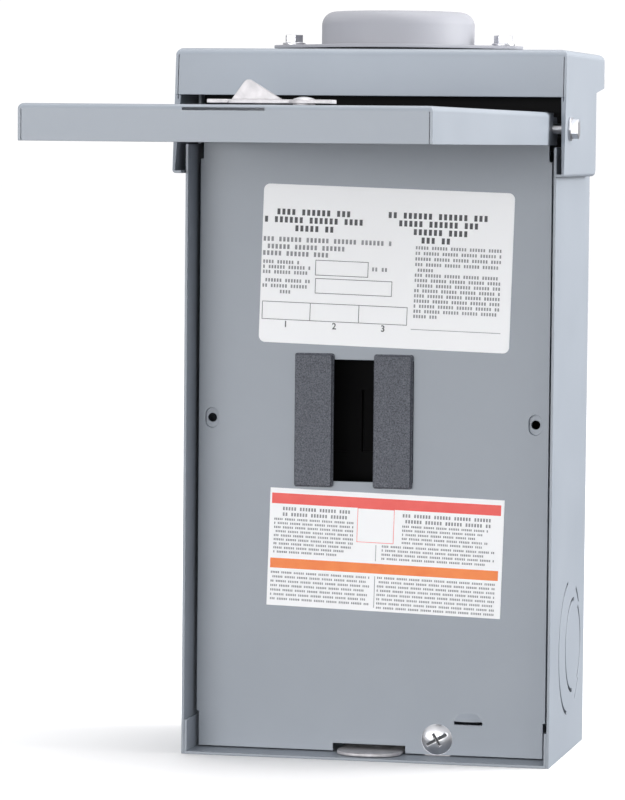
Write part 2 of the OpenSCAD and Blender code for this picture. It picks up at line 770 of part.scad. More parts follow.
module neutral_base() color(moulded) in_box()
    translate([neutral_x - 8, neutral_y + bar_s, neutral_z - neutral_l / 2 - 3])
        cube([16, back_in - neutral_y - bar_s, neutral_l + 6]);

module neutral_bar() color(lug_metal) in_box() translate([neutral_x, neutral_y, neutral_z]) difference() {
    translate([-bar_s / 2, 0, -neutral_l / 2]) cube([bar_s, bar_s, neutral_l]);
    for (k = [0:neutral_count - 1]) translate([0, bar_s / 2, neutral_pitch * (k - (neutral_count - 1) / 2)]) {
        bar_x(5, -bar_s, bar_s);
        bar_y(4.1, -bar_s, 0);
    }
}

module wire_screw() difference() {
    bar_y(4.06, -4, 1.6);
    rotate([0, 20, 0]) translate([-3, -5, -0.5]) cube([6, 2.2, 1]);
}

module neutral_screws() color(zinc) in_box() for (k = [0:neutral_count - 1])
    translate([neutral_x, neutral_y, neutral_z + neutral_pitch * (k - (neutral_count - 1) / 2)]) wire_screw();

module bonding_strap() color(tinned) in_box() difference() {
    union() {
        translate([neutral_x - 4, neutral_y - 1, strap_z - 4]) cube([8, 1, 8]);
        translate([neutral_x - 4, neutral_y - 1, strap_z - 12]) cube([8, back_in - neutral_y + 1, 1]);
        translate([neutral_x - 4, neutral_y - 1, strap_z - 12]) cube([8, 1, 9]);
        translate([neutral_x - 4, back_in - 1, strap_z - 24]) cube([8, 1, 13]);
    }
    translate([neutral_x, 0, strap_z - 18]) bar_y(4.4, back_in - 3, back_in + 1);
}

module bonding_screw() color([0.35, 0.6, 0.4]) in_box()
    translate([neutral_x, back_in - 1, strap_z - 18]) rotate([90, 0, 0]) {
        hex_screw(6.4, 3.2, 8, 4, 4.5);
    }

module ground_bar() color(lug_metal) in_box() translate([ground_x, ground_y, ground_z]) difference() {
    translate([-bar_s / 2, 0, -ground_l / 2]) cube([bar_s, bar_s, ground_l]);
    for (k = [0:ground_count - 1]) translate([0, bar_s / 2, ground_pitch * (k - (ground_count - 1) / 2)]) {
        bar_x(4.6, -bar_s, bar_s);
        bar_y(4.1, -bar_s, 0);
    }
    for (s = [-1, 1]) translate([0, 0, s * ground_screw_z]) bar_y(4.4, -1, bar_s + 1);
}

module ground_screws() color(zinc) in_box() for (k = [0:ground_count - 1])
    translate([ground_x, ground_y, ground_z + ground_pitch * (k - (ground_count - 1) / 2)]) wire_screw();

module ground_bar_screws() color(zinc) in_box() for (s = [-1, 1])
    translate([ground_x, ground_y, ground_z + s * ground_screw_z]) rotate([90, 0, 0])
        hex_screw(6, 3, 7, 4, bar_s + 4);

enclosure_wrap();
bottom_endwall();
hood();
top_baffle();
hub_gasket();
hub_closing_plate();
hub_plate_screws();
hinge_screws();
door();
latch_plate();
latch_washer();
latch_rivet();
hasp_tongue();
deadfront_cover();
filler_plate_left();
filler_plate_right();
cover_screw();
cover_screw_bracket();
upper_label();
lower_label();
interior_pan();
bus_base();
bus_bar_a();
bus_bar_b();
bus_bar_c();
line_lug_a();
line_lug_b();
line_lug_c();
line_lug_screws();
hook_rail();
pan_screws();
neutral_base();
neutral_bar();
neutral_screws();
bonding_strap();
bonding_screw();
ground_bar();
ground_screws();
ground_bar_screws();
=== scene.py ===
# %% [markdown]
# # A small outdoor breaker box
#
# This lesson finishes a rainproof subpanel: a folded steel box under an overhanging hood, with a
# lift-up door, an inner cover and a raised plate that closes the conduit hub. The solid model comes
# first and gives every size and every place. Blender adds what steel, paint, plastic and print look
# like, and rebuilds the folded sheets with their real bends.

# %% Load the fixed frame
import bpy
import bmesh
import math
from mathutils import Matrix, Vector


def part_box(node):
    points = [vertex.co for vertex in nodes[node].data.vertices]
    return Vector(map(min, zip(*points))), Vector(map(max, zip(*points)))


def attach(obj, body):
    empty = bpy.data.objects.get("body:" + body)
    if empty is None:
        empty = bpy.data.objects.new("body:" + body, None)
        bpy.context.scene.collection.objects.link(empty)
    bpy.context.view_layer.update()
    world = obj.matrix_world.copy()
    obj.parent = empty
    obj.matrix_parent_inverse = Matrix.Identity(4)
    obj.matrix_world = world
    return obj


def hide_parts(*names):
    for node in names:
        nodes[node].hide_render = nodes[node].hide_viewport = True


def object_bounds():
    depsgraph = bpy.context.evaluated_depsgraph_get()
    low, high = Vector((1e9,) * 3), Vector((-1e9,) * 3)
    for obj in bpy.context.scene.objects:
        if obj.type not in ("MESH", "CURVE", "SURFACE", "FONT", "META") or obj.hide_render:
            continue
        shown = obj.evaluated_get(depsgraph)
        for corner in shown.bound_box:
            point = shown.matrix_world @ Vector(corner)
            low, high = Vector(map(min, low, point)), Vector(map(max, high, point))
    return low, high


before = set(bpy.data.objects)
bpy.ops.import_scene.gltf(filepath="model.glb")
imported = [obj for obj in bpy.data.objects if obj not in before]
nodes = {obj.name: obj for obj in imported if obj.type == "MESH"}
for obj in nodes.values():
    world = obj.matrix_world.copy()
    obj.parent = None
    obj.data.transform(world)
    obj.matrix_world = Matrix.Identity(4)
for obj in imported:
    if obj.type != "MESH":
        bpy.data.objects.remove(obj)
solid_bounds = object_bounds()
print("solid nodes:", len(nodes))

# %% [markdown]
# ## One frame for everything
#
# The origin lies on the wall, in the middle of the four screw holes. A maker measures this box from
# its front edges and its floor instead, in millimetres. One small function carries such a point to
# the shared frame, so every later number reads like a number on a drawing.

# %% A point measured from the box front and the floor
wrap_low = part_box("enclosure_wrap")[0]
FRONT_Y = wrap_low[1]
FLOOR_Z = wrap_low[2]


def at(x, y, z):
    """Millimetres right of the middle, back from the front edges and up from the floor."""
    return Vector((x / 1000, FRONT_Y + y / 1000, FLOOR_Z + z / 1000))


def place(point):
    """The same three distances in millimetres, read back from a point of the shared frame."""
    return (Vector(point) - at(0, 0, 0)) * 1000


def corners(name):
    """The lowest and the highest corner of a solid node, in box millimetres."""
    low_corner, high_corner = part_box(name)
    return place(low_corner), place(high_corner)


print("front edges at y", round(FRONT_Y, 4), "floor at z", round(FLOOR_Z, 4))

# %% [markdown]
# ## The camera
#
# A product picture of a tall thin box is taken from far away with a long lens, so that upright edges
# stay nearly parallel. The camera stands about two metres off, a little to the right and a little
# above the middle. Its axes are built from the way back to it, then rolled by half a degree.

# %% Aim a long lens
AZIMUTH = math.radians(12.553)
ELEVATION = math.radians(3.523)
ROLL = math.radians(0.553)
DISTANCE = 1.9724
LENS = 242.3
aim = at(-26.02, 0, 169.52)
reach = math.cos(ELEVATION)
back = Vector((math.sin(AZIMUTH) * reach, -math.cos(AZIMUTH) * reach, math.sin(ELEVATION)))
level = Vector((0, 0, 1)).cross(back).normalized()
right = Matrix.Rotation(ROLL, 3, back) @ level
up = back.cross(right)
turn = Matrix((right, up, back)).transposed().to_4x4()

camera_data = bpy.data.cameras.new("camera")
camera_data.sensor_fit = "HORIZONTAL"
camera_data.sensor_width = 36.0
camera_data.lens = LENS
camera_data.clip_end = 60.0
camera = bpy.data.objects.new("camera", camera_data)
camera.matrix_world = Matrix.Translation(aim + back * DISTANCE) @ turn
bpy.context.scene.collection.objects.link(camera)
bpy.context.scene.camera = camera
print("camera at", [round(v, 3) for v in camera.matrix_world.translation])

# %% [markdown]
# ## A white table and soft light
#
# Grey enamel shows its shape only where the light changes. A bright, even room gives the base tone.
# A wide, low panel in front reaches the inner cover under the lifted door, a tall one on the right
# makes that side lighter, and one overhead lights the hood and the drum. All three are large, so
# their edges stay soft. The room is bright overhead and dimmer near the horizon,
# which gives plated screws their dark edges. The table has a painted glow that grows a little away
# from the box, so it stays white far off and keeps a soft shadow round the foot of the box.

# %% Floor
bpy.context.scene.view_settings.view_transform = "Standard"
floor_mesh = bpy.data.meshes.new("floor")
floor_bm = bmesh.new()
bmesh.ops.create_grid(floor_bm, x_segments=1, y_segments=1, size=15.0)
bmesh.ops.translate(floor_bm, verts=floor_bm.verts, vec=(0, 8, solid_bounds[0][2]))
floor_bm.to_mesh(floor_mesh)
floor_bm.free()
floor = bpy.data.objects.new("floor", floor_mesh)
bpy.context.scene.collection.objects.link(floor)
print("floor at z", round(solid_bounds[0][2], 4))

# %% Soft panels
def soft_panel(name, where, toward, size, power):
    """A rectangular lamp, sized in metres and powered in watts, that looks at a point."""
    data = bpy.data.lights.new(name, "AREA")
    data.shape = "RECTANGLE"
    data.size = size[0]
    data.size_y = size[1]
    data.energy = power
    lamp = bpy.data.objects.new(name, data)
    lamp.location = where
    lamp.rotation_euler = (toward - where).to_track_quat("-Z", "Y").to_euler()
    bpy.context.scene.collection.objects.link(lamp)
    return lamp


heart = at(0, 50, 180)
RIGHT_PLACE = Vector((2.3, 0.35, 0.6))
FRONT_PLACE = Vector((-1.1, -4.2, 0.02))
TOP_PLACE = Vector((0.2, 0.3, 2.6))
soft_panel("panel_right", RIGHT_PLACE, heart, size=(1.3, 1.6), power=84)
soft_panel("panel_front", FRONT_PLACE, heart, size=(5.0, 0.9), power=168)
soft_panel("panel_top", TOP_PLACE, heart, size=(1.6, 1.2), power=26)

# %% [markdown]
# The room itself is a world shader. What lights the box is dimmer near the horizon and brighter
# overhead, while the lens sees a plain white backdrop. The Light Path node tells the two apart.

# %% The room
room = bpy.data.worlds.new("room")
room.use_nodes = True
bpy.context.scene.world = room
room_nodes = room.node_tree.nodes
room_links = room.node_tree.links
air = room_nodes["Background"]
air.inputs["Color"].default_value = (0.985, 0.985, 1.0, 1)
direction = room_nodes.new("ShaderNodeTexCoord")
parts = room_nodes.new("ShaderNodeSeparateXYZ")
room_links.new(direction.outputs["Generated"], parts.inputs["Vector"])
height_fade = room_nodes.new("ShaderNodeMapRange")
height_fade.inputs["From Min"].default_value = -0.15
height_fade.inputs["From Max"].default_value = 0.85
height_fade.inputs["To Min"].default_value = 0.54
height_fade.inputs["To Max"].default_value = 1.05
room_links.new(parts.outputs["Z"], height_fade.inputs["Value"])
room_links.new(height_fade.outputs["Result"], air.inputs["Strength"])
backdrop = room_nodes.new("ShaderNodeBackground")
backdrop.inputs["Color"].default_value = (1, 1, 1, 1)
backdrop.inputs["Strength"].default_value = 1.05
chooser = room_nodes.new("ShaderNodeMixShader")
path = room_nodes.new("ShaderNodeLightPath")
room_links.new(path.outputs["Is Camera Ray"], chooser.inputs[0])
room_links.new(air.outputs[0], chooser.inputs[1])
room_links.new(backdrop.outputs[0], chooser.inputs[2])
room_links.new(chooser.outputs[0], room_nodes["World Output"].inputs["Surface"])
print("room nodes:", len(room_nodes))

# %% [markdown]
# ## Finishes
#
# Each finish is a small node tree on Object coordinates, in metres, so its grain has a real size and
# stays with the piece when the piece moves. The same few parts come back every time: a slow noise
# that shifts the tone and the gloss a little, and a fine noise that raises the surface.

# %% A finish starts from its tone, gloss and grain
def finish(name, tone, other, rough, spread, metal=0.0, cloud=22.0, grain=1500.0, depth=0.00004,
           specular=0.5):
    """A material whose tone drifts between two colours and whose gloss drifts round one value."""
    material = bpy.data.materials.new(name)
    material.use_nodes = True
    tree = material.node_tree
    surface = tree.nodes["Principled BSDF"]
    surface.inputs["Metallic"].default_value = metal
    surface.inputs["Specular IOR Level"].default_value = specular
    where = tree.nodes.new("ShaderNodeTexCoord")
    slow = tree.nodes.new("ShaderNodeTexNoise")
    slow.inputs["Scale"].default_value = cloud
    slow.inputs["Detail"].default_value = 5.0
    tree.links.new(where.outputs["Object"], slow.inputs["Vector"])
    spread_out = tree.nodes.new("ShaderNodeMapRange")
    spread_out.inputs["From Min"].default_value = 0.32
    spread_out.inputs["From Max"].default_value = 0.68
    tree.links.new(slow.outputs["Fac"], spread_out.inputs["Value"])
    blend = tree.nodes.new("ShaderNodeMix")
    blend.data_type = "RGBA"
    blend.inputs["A"].default_value = (*tone, 1)
    blend.inputs["B"].default_value = (*other, 1)
    tree.links.new(spread_out.outputs["Result"], blend.inputs["Factor"])
    tree.links.new(blend.outputs["Result"], surface.inputs["Base Color"])
    gloss = tree.nodes.new("ShaderNodeMapRange")
    gloss.inputs["To Min"].default_value = rough - spread
    gloss.inputs["To Max"].default_value = rough + spread
    tree.links.new(slow.outputs["Fac"], gloss.inputs["Value"])
    tree.links.new(gloss.outputs["Result"], surface.inputs["Roughness"])
    fine = tree.nodes.new("ShaderNodeTexNoise")
    fine.inputs["Scale"].default_value = grain
    fine.inputs["Detail"].default_value = 2.0
    tree.links.new(where.outputs["Object"], fine.inputs["Vector"])
    bump = tree.nodes.new("ShaderNodeBump")
    bump.inputs["Strength"].default_value = 0.5
    bump.inputs["Distance"].default_value = depth
    tree.links.new(fine.outputs["Fac"], bump.inputs["Height"])
    tree.links.new(bump.outputs["Normal"], surface.inputs["Normal"])
    return material


print("finish recipe ready")

# %% [markdown]
# Every finish of the box comes from that one recipe. Enamel is a blue-grey paint with a soft gloss,
# and the drum's is a little warmer. Zinc and tin are metals; the galvanised latch is duller and so
# only partly metallic. The fillers are coarse moulded plastic, whose quick grain shows as specks.

# %% The finishes of this box
enamel = finish("grey_enamel", (0.293, 0.325, 0.369), (0.313, 0.345, 0.389), 0.42, 0.05)
drum_enamel = finish("drum_enamel", (0.33, 0.334, 0.365), (0.35, 0.354, 0.385), 0.50, 0.05,
                     specular=0.25)
zinc = finish("bright_zinc", (0.56, 0.57, 0.60), (0.70, 0.70, 0.72), 0.32, 0.10, metal=1.0, cloud=160)
galvanised = finish("galvanised_sheet", (0.42, 0.41, 0.425), (0.60, 0.585, 0.60), 0.50, 0.10, metal=0.35,
                    cloud=220, depth=0.00005)
tinned = finish("tinned_bar", (0.55, 0.55, 0.53), (0.66, 0.66, 0.63), 0.35, 0.08, metal=1.0)
lug_metal = finish("lug_metal", (0.58, 0.59, 0.60), (0.70, 0.70, 0.71), 0.38, 0.08, metal=1.0)
# Black moulding for the plastic bases; on the top baffle the same black is painted shade.
moulding_and_shade = finish("black_moulding", (0.006, 0.006, 0.007), (0.011, 0.011, 0.012), 0.70, 0.05,
                  specular=0.15)
filler_plastic = finish("filler_plastic", (0.036, 0.041, 0.053), (0.158, 0.168, 0.200), 0.62, 0.08,
                        cloud=1700, grain=1500, depth=0.0004)
sponge = finish("sponge", (0.012, 0.012, 0.013), (0.022, 0.022, 0.024), 0.9, 0.05, depth=0.0003)
film = finish("label_film", (0.935, 0.942, 0.955), (0.95, 0.955, 0.965), 0.42, 0.04, depth=0.00001)
green_dye = finish("green_dye", (0.06, 0.24, 0.09), (0.10, 0.32, 0.13), 0.4, 0.06, metal=0.6)
dark_ink = finish("dark_ink", (0.035, 0.036, 0.042), (0.07, 0.072, 0.08), 0.5, 0.04, cloud=300)
pale_ink = finish("pale_ink", (0.20, 0.205, 0.22), (0.30, 0.305, 0.32), 0.5, 0.04, cloud=300)
red_ink = finish("red_ink", (0.86, 0.085, 0.07), (0.90, 0.11, 0.09), 0.45, 0.04, cloud=120)
orange_ink = finish("orange_ink", (0.90, 0.20, 0.03), (0.94, 0.25, 0.045), 0.45, 0.04, cloud=120)
print("finishes:", len(bpy.data.materials))

# %% [markdown]
# The table needs two faces. The lens sees a white top that glows away from the box, while the light
# that bounces up to the box comes from a much darker one, so that undersides and gaps stay dark.

# %% The table's finish
table_white = finish("table_white", (0.93, 0.93, 0.93), (0.95, 0.95, 0.95), 0.85, 0.02, cloud=1.0,
                     grain=40, depth=0.00001, specular=0.1)
table_tree = table_white.node_tree
table_top = table_tree.nodes["Principled BSDF"]
table_top.inputs["Emission Color"].default_value = (1, 1, 1, 1)
table_place = table_tree.nodes.new("ShaderNodeTexCoord")
from_box = table_tree.nodes.new("ShaderNodeVectorMath")
from_box.operation = "LENGTH"
table_tree.links.new(table_place.outputs["Object"], from_box.inputs[0])
# Painted glow: the table's emission rises with distance from the box.
glow = table_tree.nodes.new("ShaderNodeMapRange")
glow.inputs["From Min"].default_value = 0.20
glow.inputs["From Max"].default_value = 0.75
glow.inputs["To Min"].default_value = 0.0
glow.inputs["To Max"].default_value = 0.14
table_tree.links.new(from_box.outputs["Value"], glow.inputs["Value"])
table_tree.links.new(glow.outputs["Result"], table_top.inputs["Emission Strength"])
dim_table = table_tree.nodes.new("ShaderNodeBsdfDiffuse")
dim_table.inputs["Color"].default_value = (0.11, 0.11, 0.115, 1)
seen = table_tree.nodes.new("ShaderNodeLightPath")
table_mix = table_tree.nodes.new("ShaderNodeMixShader")
table_tree.links.new(seen.outputs["Is Camera Ray"], table_mix.inputs[0])
table_tree.links.new(dim_table.outputs[0], table_mix.inputs[1])
table_tree.links.new(table_top.outputs[0], table_mix.inputs[2])
table_tree.links.new(table_mix.outputs[0], table_tree.nodes["Material Output"].inputs["Surface"])
floor.data.materials.append(table_white)
print("table finish:", floor.data.materials[0].name)

# %% [markdown]
# Now each solid node gets a finish. A table by finish, not by node, reads as a shopping list, and the
# last line counts the nodes, so that a forgotten one would show.

# %% Give every solid node its finish
finish_of = {
    enamel: ["enclosure_wrap", "bottom_endwall", "hood", "door", "deadfront_cover"],
    drum_enamel: ["hub_closing_plate"],
    zinc: ["hub_plate_screws", "hinge_screws", "latch_rivet", "cover_screw",
           "line_lug_screws", "pan_screws", "neutral_screws", "ground_screws", "ground_bar_screws"],
    galvanised: ["latch_plate", "latch_washer", "hasp_tongue", "cover_screw_bracket", "interior_pan",
                 "hook_rail"],
    tinned: ["bus_bar_a", "bus_bar_b", "bus_bar_c", "bonding_strap"],
    lug_metal: ["line_lug_a", "line_lug_b", "line_lug_c", "neutral_bar", "ground_bar"],
    # The black on the top baffle is painted shade: it stands for the shade in the gap under the hood.
    moulding_and_shade: ["bus_base", "neutral_base", "top_baffle"],
    filler_plastic: ["filler_plate_left", "filler_plate_right"],
    film: ["upper_label", "lower_label"],
    sponge: ["hub_gasket"],
    green_dye: ["bonding_screw"],
}
for material, names in finish_of.items():
    for name in names:
        nodes[name].data.materials.clear()
        nodes[name].data.materials.append(material)
dressed = sum(len(names) for names in finish_of.values())
print("dressed", dressed, "of", len(nodes), "nodes")

# %% [markdown]
# ## From a bmesh to a finished piece
#
# Three small helpers serve every new piece. The first turns a bmesh into an object. The second keeps
# the result of the modifiers and then shades it smooth, except across real edges, with normals
# weighted by area so that flat sheet stays flat beside a small round. The third hands the piece over.

# %% Make, settle and hand over
MM = 0.001


def make(name, mesh, *finishes):
    """Turn a bmesh into an object with its finishes."""
    data = bpy.data.meshes.new(name)
    mesh.to_mesh(data)
    mesh.free()
    for material in finishes:
        data.materials.append(material)
    piece = bpy.data.objects.new(name, data)
    bpy.context.scene.collection.objects.link(piece)
    return piece


def settle(piece, sharp=50):
    """Keep what the modifiers made, and shade it smooth except across sharp edges."""
    even = piece.modifiers.new("even normals", "WEIGHTED_NORMAL")
    even.keep_sharp = True
    piece.data.shade_smooth()
    piece.data.set_sharp_from_angle(angle=math.radians(sharp))
    graph = bpy.context.evaluated_depsgraph_get()
    done = bpy.data.meshes.new_from_object(piece.evaluated_get(graph))
    piece.modifiers.clear()
    piece.data = done
    return piece


def hand_over(piece, body, slot, *replaced):
    """Let the piece ride on its body and hide the nodes it stands for. The slot is not used."""
    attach(piece, body)
    if replaced:
        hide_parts(*replaced)
    print(piece.name, "rides on", body, "with", len(piece.data.polygons), "faces")


print("one millimetre is", MM, "m")

# %% [markdown]
# ## Breaking the sharp edges
#
# No real sheet or screw has a perfectly sharp edge: enamel rounds it, and it catches a thin light.
# For the pieces whose shape is already right, a merged copy of the solid is taken, its flat areas are
# joined into single faces, and every edge sharper than fifty degrees gets a small round.

# %% A copy with its edges broken
def break_edges(name, width, body, slot):
    """Replace a node by a merged copy whose sharp edges have a small round."""
    mesh = bmesh.new()
    mesh.from_mesh(nodes[name].data)
    bmesh.ops.remove_doubles(mesh, verts=mesh.verts, dist=0.001 * MM)
    bmesh.ops.dissolve_limit(mesh, angle_limit=math.radians(1), verts=mesh.verts, edges=mesh.edges)
    keen = [e for e in mesh.edges if e.is_manifold and e.calc_face_angle() > math.radians(50)]
    bmesh.ops.bevel(mesh, geom=keen, offset=width * MM, segments=2, profile=0.5, affect="EDGES",
                    material=-1, clamp_overlap=False)
    piece = settle(make(name + "_finished", mesh, nodes[name].data.materials[0]))
    hand_over(piece, body, slot, name)
    return piece


for name in ("enclosure_wrap", "bottom_endwall", "deadfront_cover"):
    break_edges(name, 0.22, "enclosure", "paint")
break_edges("hub_closing_plate", 0.3, "enclosure", "drum_paint")
break_edges("hub_plate_screws", 0.3, "enclosure", "zinc")
break_edges("hinge_screws", 0.3, "enclosure", "zinc")
cover_screw = break_edges("cover_screw", 0.15, "enclosure", "zinc")
break_edges("hasp_tongue", 0.4, "enclosure", "galvanised")
break_edges("filler_plate_left", 0.3, "enclosure", "filler")
break_edges("filler_plate_right", 0.3, "enclosure", "filler")
break_edges("latch_plate", 0.25, "latch", "galvanised")
break_edges("latch_rivet", 0.2, "door", "zinc")

# %% [markdown]
# ## The slot of the cover screw
#
# A screw reads as a screw by its dark slot, and here the dark is painted shade. The floors and the
# walls of the slot and the cross are picked out by where they lie and which way they face, and get a
# near-black finish that stands for the shade inside the slot.

# %% Painted shade on the floors and walls of the slot
# Painted shade: a near-black finish standing for the shade inside the slot.
painted_slot_shade = finish("painted_slot_shade", (0.045, 0.047, 0.052), (0.085, 0.088, 0.095), 0.6, 0.08, cloud=300)
cover_screw.data.materials.append(painted_slot_shade)
# Heights above the foot of the head. The floors of the slot and the cross lie between the last two.
HEAD_HEIGHT = 1.9
FLOOR_LOWEST = 0.5
FLOOR_HIGHEST = 1.0
HEAD_FOOT_Y = corners("cover_screw")[0].y + HEAD_HEIGHT
shade_painted = 0
for face in cover_screw.data.polygons:
    height = HEAD_FOOT_Y - place(face.center).y
    is_wall = abs(face.normal.y) < 0.2 and height > FLOOR_LOWEST
    is_floor = face.normal.y < -0.995 and FLOOR_LOWEST < height < FLOOR_HIGHEST
    if is_wall or is_floor:
        face.material_index = 1
        shade_painted += 1
print("dulled faces:", shade_painted)

# %% [markdown]
# ## Folding a sheet
#
# The hood and the door are each one blank of sheet steel with its sides bent down. Such a piece is
# easiest to think of as the outside of a block with some faces left open. A side outline is pushed
# across to make the block, the open faces are deleted, the fold lines are rounded, and the skin is
# then thickened inwards, so the outside keeps its size.

# %% A block from a side outline
def block(outline, half):
    """Push a side outline, in millimetres back and up, across the box into a closed block."""
    mesh = bmesh.new()
    ring = [mesh.verts.new(at(-half, y, z)) for y, z in outline]
    side = mesh.faces.new(ring)
    grown = bmesh.ops.extrude_face_region(mesh, geom=[side])["geom"]
    far_side = [v for v in grown if isinstance(v, bmesh.types.BMVert)]
    bmesh.ops.translate(mesh, verts=far_side, vec=Vector((2 * half * MM, 0, 0)))
    bmesh.ops.recalc_face_normals(mesh, faces=mesh.faces)
    return mesh


print("block helper ready")

# %% [markdown]
# On a skin a fold is a bevel along one of its edges, and a flange that turns further in is a strip
# pulled out of a free edge. Three short helpers round the folds, open faces and pull out strips.

# %% Folds, open faces and strips
def round_folds(mesh, edges, radius):
    """Round the fold lines of a skin."""
    bmesh.ops.bevel(mesh, geom=edges, offset=radius * MM, segments=5, profile=0.5, affect="EDGES",
                    material=-1, clamp_overlap=False)


def drop(mesh, faces):
    """Leave faces of the block open."""
    bmesh.ops.delete(mesh, geom=faces, context="FACES")


def grow(mesh, edges, shift):
    """Pull free edges out into a new strip, and return the strip's outer points."""
    pulled = bmesh.ops.extrude_edge_only(mesh, edges=edges)["geom"]
    points = [v for v in pulled if isinstance(v, bmesh.types.BMVert)]
    bmesh.ops.translate(mesh, verts=points, vec=Vector(shift) * MM)
    return points


print("fold helpers ready")

# %% [markdown]
# A solidify modifier gives the skin its thickness. It grows inwards only, so the outside keeps its
# size, and a narrow bevel after it rounds the cut rim as enamel does.

# %% Sheet thickness
def thicken(piece, thickness):
    """Give a skin its sheet thickness inwards, then round the rim."""
    wall = piece.modifiers.new("sheet", "SOLIDIFY")
    wall.thickness = thickness * MM
    wall.offset = -1
    wall.use_even_offset = True
    rim = piece.modifiers.new("rim", "BEVEL")
    rim.width = 0.2 * MM
    rim.segments = 2
    rim.limit_method = "ANGLE"
    rim.angle_limit = math.radians(50)
    rim.use_clamp_overlap = False


print("thickness helper ready")

# %% [markdown]
# ## The hood
#
# The hood overhangs the box on both sides, and its side flaps lean forward so that rain drips clear
# of the door. Roof, front lip, side flaps and rear flange are one sheet. Each flap turns in a little
# at its foot. The lip is bent down between the flaps, so a fine seam stays at both front corners.

# %% Hood skin
SHEET = 1.3
BEND = 3.2
hood_low, hood_high = corners("hood")
ROOF = hood_high.z
FLAP_FOOT = hood_low.z
FLAP_X = hood_high.x
LIP_FOOT = ROOF - 21.8
LIP_TOP_Y = -1
LIP_FOOT_Y = -3.1
STEP_Y = 88.0
STEP_CORNER = 3
REAR_FOOT = LIP_FOOT + 5.5
FOOT_TURN = 4.3
FOOT_BEND = 1.6
hood_outline = [
    (LIP_TOP_Y, ROOF),
    (LIP_FOOT_Y, LIP_FOOT),
    (hood_low.y, FLAP_FOOT),
    (STEP_Y - STEP_CORNER, FLAP_FOOT),
    (STEP_Y, FLAP_FOOT + STEP_CORNER),
    (STEP_Y, LIP_FOOT + STEP_CORNER),
    (hood_high.y, REAR_FOOT),
    (hood_high.y, ROOF),
]
hood_mesh = block(hood_outline, FLAP_X)
skin = [f for f in hood_mesh.faces if abs(f.normal.x) > 0.9]
skin += [f for f in hood_mesh.faces
         if abs(f.normal.x) < 0.1 and f.normal.z > -0.5 and place(f.calc_center_median()).z > LIP_FOOT]
drop(hood_mesh, [f for f in hood_mesh.faces if f not in skin])
feet = [e for e in hood_mesh.edges if all(abs(place(v.co).z - FLAP_FOOT) < 0.1 for v in e.verts)]
for foot in feet:
    inward = -FOOT_TURN if foot.verts[0].co.x > 0 else FOOT_TURN
    grow(hood_mesh, [foot], (inward, 0, 0))
feet = [e for e in hood_mesh.edges if e.is_manifold
        and all(abs(place(v.co).z - FLAP_FOOT) < 0.1 for v in e.verts)]
round_folds(hood_mesh, feet, FOOT_BEND)
roof_folds = [e for e in hood_mesh.edges if e.is_manifold
              and all(abs(place(v.co).z - ROOF) < 0.1 for v in e.verts)]
round_folds(hood_mesh, roof_folds, BEND)
bmesh.ops.recalc_face_normals(hood_mesh, faces=hood_mesh.faces)
print("roof folds:", len(roof_folds), "foot folds:", len(feet))

# %% [markdown]
# Holes come after the sheet has its thickness, because a closed rod or slab then cuts both of its
# skins at once and leaves a clean wall between them. One cutter holds all the holes of a piece.

# %% Rods and slabs to cut with
def rod(mesh, across, centre, diameter, length):
    """Add a closed rod along X or Z to a cutter."""
    turn_to = Matrix.Rotation(math.radians(90), 4, "Y") if across else Matrix.Identity(4)
    bmesh.ops.create_cone(mesh, cap_ends=True, segments=48, radius1=diameter / 2 * MM,
                          radius2=diameter / 2 * MM, depth=length * MM,
                          matrix=Matrix.Translation(centre) @ turn_to)


def slab(mesh, low_point, high_point):
    """Add a closed box between two corners to a cutter."""
    size = high_point - low_point
    grown = bmesh.ops.create_cube(mesh, size=1.0)["verts"]
    bmesh.ops.scale(mesh, verts=grown, vec=size)
    bmesh.ops.translate(mesh, verts=grown, vec=(low_point + high_point) / 2)


def cut(piece, cutter_mesh):
    """Take the cutter out of the piece."""
    cutter = make(piece.name + "_cutter", cutter_mesh)
    hole = piece.modifiers.new("holes", "BOOLEAN")
    hole.operation = "DIFFERENCE"
    hole.solver = "EXACT"
    hole.object = cutter
    settle(piece)
    bpy.data.objects.remove(cutter)


print("cutters ready")

# %% [markdown]
# The hood has the conduit hub in its roof, two holes for the plate's screws beside it, and one hole
# for a hinge screw in each flap. Two thin slabs open the seams between the lip and the flaps.

# %% Hood holes and corner seams
HUB_HOLE = 50
PLATE_SCREW_REACH = 51
PLATE_SCREW_HOLE = 5
HINGE_HOLE = 5.1
THROUGH = 12
HOOD_SEAM = 0.35
hood = make("folded_hood", hood_mesh, enamel)
thicken(hood, SHEET)
drum_low, drum_high = corners("hub_closing_plate")
HUB_X = (drum_low.x + drum_high.x) / 2
HUB_Y = (drum_low.y + drum_high.y) / 2
hinge_low, hinge_high = corners("hinge_screws")
PIVOT_Y = (hinge_low.y + hinge_high.y) / 2
PIVOT_Z = (hinge_low.z + hinge_high.z) / 2
hood_cutter = bmesh.new()
rod(hood_cutter, False, at(HUB_X, HUB_Y, ROOF), HUB_HOLE, THROUGH)
for side in (-1, 1):
    rod(hood_cutter, False, at(HUB_X + side * PLATE_SCREW_REACH, HUB_Y, ROOF), PLATE_SCREW_HOLE, THROUGH)
    rod(hood_cutter, True, at(side * FLAP_X, PIVOT_Y, PIVOT_Z), HINGE_HOLE, THROUGH)
    inner = side * (FLAP_X - SHEET)
    seam = sorted((inner, inner - side * HOOD_SEAM))
    slab(hood_cutter, at(seam[0], -9, LIP_FOOT - 2), at(seam[1], 1.5, ROOF - BEND))
cut(hood, hood_cutter)
hand_over(hood, "enclosure", "paint", "hood")

# %% [markdown]
# ## The door
#
# The door is a shallow tray. It is stored lifted, level with the hinge screws, so its outside faces
# up and its flanges hang down. The panel ends just behind the hinge line in a narrower strip that
# tucks up under the hood when the door closes. The flanges run on as round-ended ears for the screws,
# and a fine seam stays where the near flange meets each side flange.

